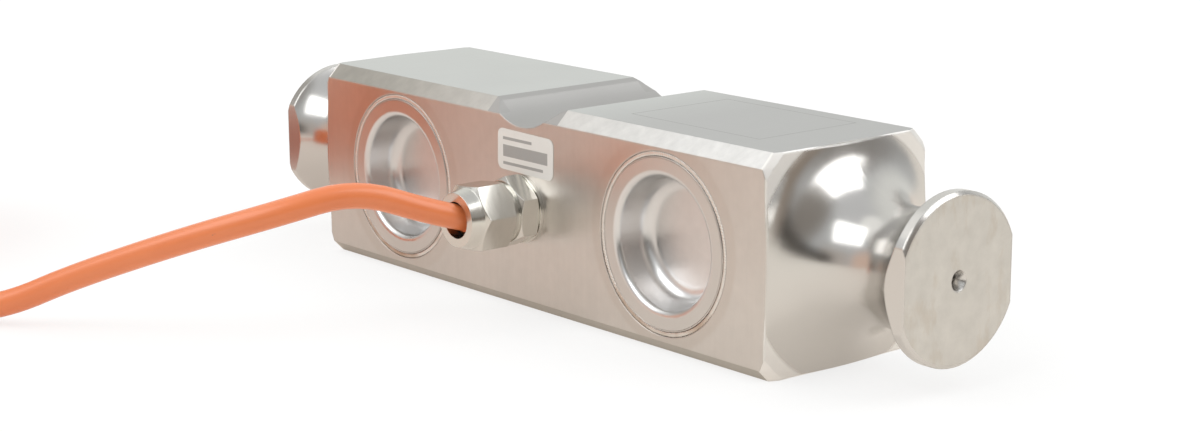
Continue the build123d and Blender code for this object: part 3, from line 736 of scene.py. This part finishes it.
# The cup floor's pinkish tint is a painted warm reflection of the room at the left, over the drawn sheet's own grey
CUP_FLOOR_PAINTED_WARM_REFLECTION = (0.750, 0.722, 0.706)
FLANGE_STEEL = (0.645, 0.628, 0.605)
cup_steel, tree = material("cup_steel")
place, (x, y, z) = object_place(tree)
radius = from_pocket_axis(x, z)
haze = noise(tree, place, 70.0, 4.0)
speck = noise(tree, place, 420.0, 4.0)
flange = radius.rise(*TO_FLANGE)
cup_floor = radius.rise(*TO_FLOOR)
colour = wear(tree, WALL_STEEL, haze, 0.06)
colour = tree.mix(cup_floor, colour, wear(tree, CUP_FLOOR_PAINTED_WARM_REFLECTION, speck, 0.06))
colour = tree.mix(flange, colour, wear(tree, FLANGE_STEEL, haze, 0.08))
roughness = 0.25 + haze * 0.08 + flange * 0.04 + cup_floor * 0.14
height = haze * 1.2 + speck * (flange + cup_floor) * 0.3
shade(tree, colour, roughness, metallic=1.0, normal=bump(tree, height, METAL_RELIEF))
dress(cup_steel, *("sealing_cup_" + face for face in FACES))

# %% The gland
GLAND_EDGE = 0.2 * MM
GLAND_RELIEF = 4e-6
NICKEL = (0.690, 0.675, 0.630)
BRASS = (0.66, 0.47, 0.23)
nickel_plate, tree = material("nickel_plate")
place, _ = object_place(tree)
brushed = noise(tree, stretched(tree, place, (350.0, 2600.0, 350.0)), 1.0, 3.0)
cloud = noise(tree, place, 160.0, 3.0)
colour = wear(tree, NICKEL, brushed * 0.6 + cloud * 0.4, 0.10)
relief = bump(tree, brushed * 0.5 + cloud, GLAND_RELIEF, broken_edge(tree, GLAND_EDGE))
shade(tree, colour, 0.14 + brushed * 0.14, metallic=1.0, normal=relief)
dress(nickel_plate, "gland_washer", "gland_body", "gland_nut")

slip_ring, tree = material("slip_ring")
place, _ = object_place(tree)
cloud = noise(tree, place, 400.0, 3.0)
shade(tree, wear(tree, BRASS, cloud, 0.12), 0.25 + cloud * 0.15, metallic=1.0)
dress(slip_ring, "gland_slip_ring")

# %% [markdown]
# ### The cable's sheath, and what is soft or thin
#
# The sheath is orange polyurethane: a body colour under a faint satin skin, with dirt specks from the workshop. One
# glossy layer would look wet, so a thin rough coat lies over a rougher body. The leads, sleeves and seals differ
# only in colour and skin, so one function makes them all.

# %% The sheath
SHEATH_DARK = (0.89, 0.225, 0.070)
SHEATH_LIGHT = (0.94, 0.275, 0.095)
DIRT = (0.30, 0.14, 0.09)
SHEATH_RELIEF = 6e-6
cable_sheath.use_nodes = True
tree = Tree(cable_sheath.node_tree)
place, _ = object_place(tree)
cloud = noise(tree, place, 60.0, 3.0)
skin = noise(tree, place, 1400.0, 2.0)
dirt = noise(tree, place, 330.0, 2.0, 0.7).rise(0.76, 0.80)
colour = tree.mix(cloud, SHEATH_DARK, SHEATH_LIGHT)
colour = tree.mix(dirt * 0.6, colour, DIRT)
relief = bump(tree, skin * 0.6 + cloud * 4.0, SHEATH_RELIEF)
shade(tree, colour, 0.38 + cloud * 0.10, normal=relief, Coat_Weight=0.6, Coat_Roughness=0.24)
dress(cable_sheath, "cable_inner_end", "cable_run", "cable_coil")


# %% Leads, sleeves and seals
def plastic(name, colour, roughness, nodes, scale=500.0, amount=0.10, relief=4e-6):
    """A moulded or extruded surface: one body colour with a fine skin."""
    made, tree = material(name)
    place, _ = object_place(tree)
    grain = noise(tree, place, scale, 3.0)
    height = bump(tree, grain, relief)
    shade(tree, wear(tree, colour, grain, amount), roughness - 0.05 + grain * 0.10, normal=height)
    dress(made, *nodes)


TINNED = (0.66, 0.65, 0.63)
LEADS = {
    "lead_red": (0.56, 0.018, 0.014),
    "lead_black": (0.012, 0.012, 0.013),
    "lead_green": (0.012, 0.16, 0.045),
    "lead_white": (0.72, 0.71, 0.68),
    "lead_shield": (0.62, 0.46, 0.03),
}
for lead, colour in LEADS.items():
    plastic(lead, colour, 0.38, [lead])
plastic("shrink_sleeve", (0.016, 0.016, 0.017), 0.5, ["cable_end_sleeve"], 300.0, 0.25, 2e-5)
plastic("seal_rubber", (0.018, 0.018, 0.018), 0.65, ["gland_seal"], 700.0, 0.25)
plastic("silicone", (0.62, 0.62, 0.58), 0.45, ["board_bed"])
plastic("wire_sleeve", (0.74, 0.74, 0.71), 0.4, ["wiring_sleeve_left", "wiring_sleeve_right"])

tinned_copper, tree = material("tinned_copper")
place, _ = object_place(tree)
strands = noise(tree, place, 3000.0, 2.0)
shade(tree, wear(tree, TINNED, strands, 0.15), 0.28 + strands * 0.1, metallic=1.0)
dress(tinned_copper, "lead_tips")

# %% [markdown]
# ### The parts sealed inside the pockets
#
# No one sees the gauges and the board once the cups are welded in, but the model can be cut open. Each is a film or
# a board that carries metal in known places, so a mask by height or distance finds the metal. The real gauge's fine
# loops would be lost at this size, and a plain metal layer says enough.


# %% Gauges, pads, board and conductors
def inside(name, base, marked, mask_of, nodes, metal=1.0):
    """A film or a board, with a second finish wherever mask_of finds it."""
    made, tree = material(name)
    place, (x, y, z) = object_place(tree)
    grain = noise(tree, place, 900.0, 2.0)
    mask = mask_of(abs(x), abs(y), z)
    colour = tree.mix(mask, wear(tree, base, grain, 0.12), marked)
    shade(tree, colour, 0.35 + grain * 0.1, metallic=mask * metal)
    dress(made, *nodes)


WEB_FACE = 4.0 * MM
GAUGE_FILM = 0.13 * MM
PAD_FILM = 0.42 * MM
BOARD_TRACK_X, BOARD_TRACK_HALF = 6.9 * MM, 0.35 * MM
RESISTORS_BELOW_AXIS, RESISTOR_CAP_FROM = 9.4 * MM, 0.95 * MM
CONDUCTOR_SPLIT = 0.6 * MM
inside("gauge_film", (0.55, 0.26, 0.05), (0.60, 0.58, 0.52),
       lambda x, y, z: y > WEB_FACE + GAUGE_FILM, ["strain_gauge_" + face for face in FACES])
inside("solder_pad", (0.45, 0.19, 0.04), (0.66, 0.65, 0.62),
       lambda x, y, z: y > WEB_FACE + PAD_FILM, ["solder_pad_" + face for face in FACES])
inside("board", (0.012, 0.12, 0.035), (0.70, 0.50, 0.20),
       lambda x, y, z: abs(abs(x - POCKET_X) - BOARD_TRACK_X) < BOARD_TRACK_HALF, ["compensation_board"])
inside("resistor", (0.010, 0.010, 0.012), (0.66, 0.65, 0.63),
       lambda x, y, z: abs(z - AXIS_HEIGHT + RESISTORS_BELOW_AXIS) > RESISTOR_CAP_FROM, ["trim_resistors"])
inside("conductor", (0.40, 0.02, 0.015), (0.012, 0.14, 0.04),
       lambda x, y, z: x > CONDUCTOR_SPLIT, ["cable_conductors"], 0.0)

# %% [markdown]
# ### The label
#
# A small sticker of white film sits above the gland. It could stay bare, but three plain grey bars tell the eye what
# it is. A picture would be one more file to keep, so each bar is a box in the label's own width and height, which
# are read from the frame.

# %% The label
# Left, right, bottom and top of each bar, as shares of the label
LABEL_BARS = ((0.10, 0.62, 0.74, 0.81), (0.10, 0.90, 0.34, 0.62), (0.10, 0.82, 0.15, 0.22))
LABEL_WHITE = (0.84, 0.83, 0.79)
BAR_GREY = (0.14, 0.14, 0.14)
LABEL_RELIEF = 5e-6
label_film, tree = material("label_film")
place, (x, y, z) = object_place(tree)
label_low, label_high = (Vector(corner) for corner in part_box("identification_label"))
label_size = label_high - label_low
share_x = (x - label_low.x) / label_size.x
share_z = (z - label_low.z) / label_size.z
on_bars = 0.0
for left, right, bottom, top in LABEL_BARS:
    bar = (share_x > left) * (share_x < right) * (share_z > bottom) * (share_z < top)
    on_bars = bar + on_bars
paper = noise(tree, place, 600.0, 3.0)
colour = tree.mix(on_bars * 0.62, wear(tree, LABEL_WHITE, paper, 0.03), BAR_GREY)
shade(tree, colour, 0.42 + paper * 0.1, normal=bump(tree, paper, LABEL_RELIEF))
dress(label_film, "identification_label")

# %% [markdown]
# ## The weld beads
#
# A fusion weld round each cup leaves ripples, one behind the other, all alike and none quite the same. A bump could
# hint at them, but the light catches the real edge of a bead. That is work for Geometry Nodes: points on a circle, a
# flat drop of metal on each, turned to face outwards, with a size of its own. The result becomes a plain mesh, so
# nothing is left to compute later.


# %% A ring of ripples, as a node group
def ripple_group():
    group = bpy.data.node_groups.new("weld_ripples", "GeometryNodeTree")
    group.interface.new_socket("Geometry", in_out="OUTPUT", socket_type="NodeSocketGeometry")
    for name, kind in (
        ("Radius", "Float"), ("Count", "Int"), ("Smallest", "Vector"), ("Largest", "Vector"),
        ("Seed", "Int"), ("Place", "Vector"), ("Turn", "Vector"), ("Material", "Material"),
    ):
        group.interface.new_socket(name, in_out="INPUT", socket_type="NodeSocket" + kind)
    nodes, link = group.nodes, group.links.new
    given, made = nodes.new("NodeGroupInput").outputs, nodes.new("NodeGroupOutput").inputs

    circle = nodes.new("GeometryNodeMeshCircle")
    link(given["Count"], circle.inputs["Vertices"])
    link(given["Radius"], circle.inputs["Radius"])
    outwards = nodes.new("FunctionNodeAlignRotationToVector")
    outwards.axis = "X"
    link(nodes.new("GeometryNodeInputPosition").outputs[0], outwards.inputs["Vector"])
    size = nodes.new("FunctionNodeRandomValue")
    size.data_type = "FLOAT_VECTOR"
    link(given["Smallest"], size.inputs[0])
    link(given["Largest"], size.inputs[1])
    link(given["Seed"], size.inputs["Seed"])
    drop = nodes.new("GeometryNodeMeshIcoSphere")
    drop.inputs["Radius"].default_value = 1.0
    drop.inputs["Subdivisions"].default_value = 2

    ripples = nodes.new("GeometryNodeInstanceOnPoints")
    link(circle.outputs["Mesh"], ripples.inputs["Points"])
    link(drop.outputs["Mesh"], ripples.inputs["Instance"])
    link(outwards.outputs[0], ripples.inputs["Rotation"])
    link(size.outputs[0], ripples.inputs["Scale"])
    onto_face = nodes.new("GeometryNodeTransform")
    link(ripples.outputs[0], onto_face.inputs["Geometry"])
    link(given["Place"], onto_face.inputs["Translation"])
    link(given["Turn"], onto_face.inputs["Rotation"])
    real = nodes.new("GeometryNodeRealizeInstances")
    link(onto_face.outputs[0], real.inputs[0])
    smooth_faces = nodes.new("GeometryNodeSetShadeSmooth")
    link(real.outputs[0], smooth_faces.inputs["Geometry"])
    finished = nodes.new("GeometryNodeSetMaterial")
    link(smooth_faces.outputs[0], finished.inputs["Geometry"])
    link(given["Material"], finished.inputs["Material"])
    link(finished.outputs[0], made["Geometry"])
    return group


ripples = ripple_group()
print("nodes in", ripples.name + ":", len(ripples.nodes))


# %% From a node group to a plain mesh
def from_nodes(name, group, inputs):
    """A plain mesh object with what the group makes from these inputs."""
    source = bpy.data.objects.new("source", bpy.data.meshes.new("source"))
    bpy.context.scene.collection.objects.link(source)
    modifier = source.modifiers.new("nodes", "NODES")
    modifier.node_group = group
    for socket in group.interface.items_tree:
        if socket.in_out == "INPUT":
            modifier[socket.identifier] = inputs[socket.name]
    bpy.context.view_layer.update()
    mesh = bpy.data.meshes.new_from_object(source.evaluated_get(bpy.context.evaluated_depsgraph_get()))
    source.modifiers.remove(modifier)
    bpy.data.objects.remove(source)
    mesh.name = name
    obj = bpy.data.objects.new(name, mesh)
    bpy.context.scene.collection.objects.link(obj)
    return obj


# %% Steel of the beads, tinted by heat below
BEAD_STEEL = (0.80, 0.785, 0.75)
BEAD_TINT = (0.46, 0.33, 0.23)
BEAD_TINTS = (AXIS_HEIGHT - 8 * MM, AXIS_HEIGHT - 16 * MM)
weld_steel, tree = material("weld_steel")
place, (x, y, z) = object_place(tree)
grain = noise(tree, place, 500.0, 3.0)
patches = noise(tree, place, 90.0, 3.0)
tinted = z.rise(*BEAD_TINTS) * patches.rise(0.35, 0.60)
colour = tree.mix(tinted * 0.8, wear(tree, BEAD_STEEL, grain, 0.08), BEAD_TINT)
shade(tree, colour, 0.24 + grain * 0.12 + patches * 0.08, metallic=1.0)

# %% One bead round each cup
BEAD_RADIUS = (WELD_INNER + WELD_OUTER) / 2
BEAD_DEPTH = 0.14 * MM
BEAD_RIPPLES = 190
SMALLEST_RIPPLE = (0.46 * MM, 0.40 * MM, 0.10 * MM)
LARGEST_RIPPLE = (0.53 * MM, 0.62 * MM, 0.15 * MM)
for seed, face in enumerate(FACES):
    front = -1 if face.startswith("front") else 1
    right = -1 if face.endswith("left") else 1
    bead = from_nodes("weld_bead_" + face, ripples, {
        "Radius": BEAD_RADIUS,
        "Count": BEAD_RIPPLES,
        "Smallest": SMALLEST_RIPPLE,
        "Largest": LARGEST_RIPPLE,
        "Seed": seed,
        "Place": (right * POCKET_X, front * (HALF_WIDTH - BEAD_DEPTH), AXIS_HEIGHT),
        "Turn": (math.pi / 2, 0.0, 0.0),
        "Material": weld_steel,
    })
    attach(bead, "root")
    print(bead.name, "triangles:", sum(len(p.vertices) - 2 for p in bead.data.polygons))
